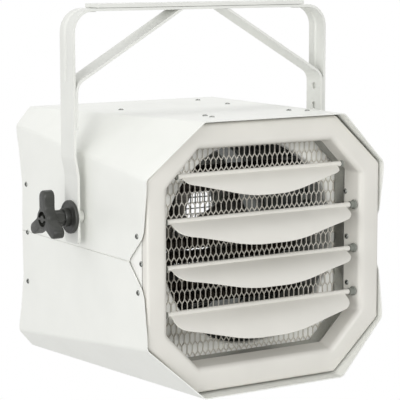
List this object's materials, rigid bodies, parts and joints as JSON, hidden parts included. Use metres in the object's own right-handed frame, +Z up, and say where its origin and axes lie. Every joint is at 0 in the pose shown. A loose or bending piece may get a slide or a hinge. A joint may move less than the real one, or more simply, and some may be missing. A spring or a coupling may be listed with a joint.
{
  "type": "ceiling mounted fan heater",
  "caption": "Octagonal sheet-steel fan heater that tilts in a braced ceiling yoke between hand knobs, with hinged louvres over an expanded-metal outlet guard.",
  "frame": {"origin": "middle of the ceiling bar's top face, where it meets the ceiling", "axes": "+Z up through the ceiling face, +X along the bar to the heater's right-hand knob, +Y from the outlet to the rear intake"},
  "size_m": [0.41, 0.3312, 0.421],
  "materials": {
    "shell_coat": "smooth powder coat, satin",
    "bezel_coat": "smooth powder coat, satin",
    "bracket_coat": "smooth powder coat, satin",
    "black_plastic": "moulded, fine texture",
    "bush_plastic": "moulded, grey",
    "zinc_steel": "zinc plated sheet and fasteners",
    "element_steel": "heat-tinted sheathed tube",
    "fan_alloy": "pressed, matt",
    "block_plastic": "moulded, pale"
  },
  "bodies": {
    "bracket": {"yoke": "bracket_coat", "ceiling_bar": "bracket_coat", "brace_left": "bracket_coat", "brace_right": "bracket_coat", "bar_rivet_1": "bracket_coat", "bar_rivet_2": "bracket_coat", "bar_rivet_3": "bracket_coat", "bar_rivet_4": "bracket_coat", "flange_washer_left": "black_plastic", "flange_washer_right": "black_plastic"},
    "fan": {"fan_blades": "fan_alloy", "motor_shaft": "zinc_steel", "hub_nut": "zinc_steel"},
    "louvre_1": {"louvre_1": "bezel_coat"},
    "louvre_2": {"louvre_2": "bezel_coat"},
    "louvre_3": {"louvre_3": "bezel_coat"},
    "louvre_4": {"louvre_4": "bezel_coat"},
    "knob_left": {"knob_left": "black_plastic"},
    "knob_right": {"knob_right": "black_plastic"},
    "housing": {"upper_shell": "shell_coat", "lower_shell": "shell_coat", "plenum": "shell_coat", "rear_panel": "shell_coat", "front_bezel": "bezel_coat", "front_mesh": "bezel_coat", "louvre_bush_1_left": "bush_plastic", "louvre_bush_1_right": "bush_plastic", "louvre_bush_2_left": "bush_plastic", "louvre_bush_2_right": "bush_plastic", "louvre_bush_3_left": "bush_plastic", "louvre_bush_3_right": "bush_plastic", "louvre_bush_4_left": "bush_plastic", "louvre_bush_4_right": "bush_plastic", "outlet_throat": "zinc_steel", "fan_bulkhead": "zinc_steel", "fan_shroud": "zinc_steel", "rear_guard": "zinc_steel", "element_support_left": "zinc_steel", "element_support_right": "zinc_steel", "motor_mount": "zinc_steel", "control_tray": "zinc_steel", "pivot_spacer_left": "shell_coat", "pivot_plate_left": "zinc_steel", "pivot_stud_left": "zinc_steel", "pivot_spacer_right": "shell_coat", "pivot_plate_right": "zinc_steel", "pivot_stud_right": "zinc_steel", "heating_element_1": "element_steel", "heating_element_2": "element_steel", "heating_element_3": "element_steel", "fan_motor": "black_plastic", "thermostat": "black_plastic", "contactor": "black_plastic", "cable_gland": "black_plastic", "gland_nut": "black_plastic", "terminal_block": "block_plastic"}
  },
  "joints": [
    {"name": "tilt", "type": "hinge", "parent": "bracket", "child": "housing", "pos_m": [0, 0, -0.235], "axis": [1, 0, 0], "range_deg": [-35, 35]},
    {"name": "fan_spin", "type": "hinge", "parent": "housing", "child": "fan", "pos_m": [0, 0.06, -0.275], "axis": [0, 1, 0], "continuous": true},
    {"name": "louvre_1_pivot", "type": "hinge", "parent": "housing", "child": "louvre_1", "pos_m": [0, -0.1314, -0.1807], "axis": [1, 0, 0], "range_deg": [-48, 14]},
    {"name": "louvre_2_pivot", "type": "hinge", "parent": "housing", "child": "louvre_2", "pos_m": [0, -0.1314, -0.2286], "axis": [1, 0, 0], "range_deg": [-43, 19]},
    {"name": "louvre_3_pivot", "type": "hinge", "parent": "housing", "child": "louvre_3", "pos_m": [0, -0.1314, -0.2786], "axis": [1, 0, 0], "range_deg": [-38, 24]},
    {"name": "louvre_4_pivot", "type": "hinge", "parent": "housing", "child": "louvre_4", "pos_m": [0, -0.1314, -0.3286], "axis": [1, 0, 0], "range_deg": [-51, 11]},
    {"name": "knob_left_turn", "type": "hinge", "parent": "housing", "child": "knob_left", "pos_m": [-0.19, 0, -0.235], "axis": [-1, 0, 0], "range_deg": [0, 360]},
    {"name": "knob_right_turn", "type": "hinge", "parent": "housing", "child": "knob_right", "pos_m": [0.19, 0, -0.235], "axis": [1, 0, 0], "range_deg": [0, 360]}
  ]
}
